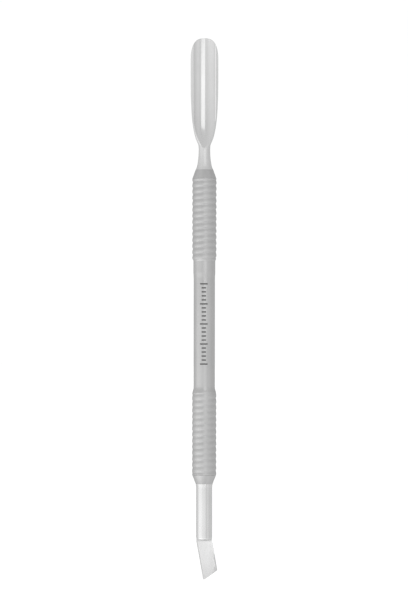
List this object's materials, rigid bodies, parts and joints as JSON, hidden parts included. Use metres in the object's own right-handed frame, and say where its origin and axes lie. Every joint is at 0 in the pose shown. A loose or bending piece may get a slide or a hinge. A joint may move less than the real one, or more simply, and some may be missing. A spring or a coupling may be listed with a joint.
{
  "type": "cuticle pusher",
  "caption": "Double-ended steel cuticle pusher with a rounded spoon, a bent flat blade and a hollow handle with ribbed grips.",
  "frame": {"origin": "on the handle's axis, at the middle of the smooth barrel between the two ribbed grips", "axes": "+Z along the handle's axis, towards the spoon; -Y is the front, which the hollow of the spoon faces; the blade leans towards +X"},
  "size_m": [0.007, 0.006, 0.1352],
  "materials": {
    "satin_steel": "bead-blasted satin stainless steel",
    "polished_steel": "polished stainless steel",
    "braze_filler": "dull silver braze filler",
    "etched_mark": "dark laser etching in the steel's own oxide"
  },
  "bodies": {
    "root": {"handle_tube": "satin_steel", "spoon_end_cone": "satin_steel", "blade_end_cone": "satin_steel", "spoon_pusher": "polished_steel", "bent_blade": "polished_steel", "spoon_tip_braze": "braze_filler", "blade_tip_braze": "braze_filler", "spoon_cone_braze": "braze_filler", "blade_cone_braze": "braze_filler"}
  },
  "joints": []
}
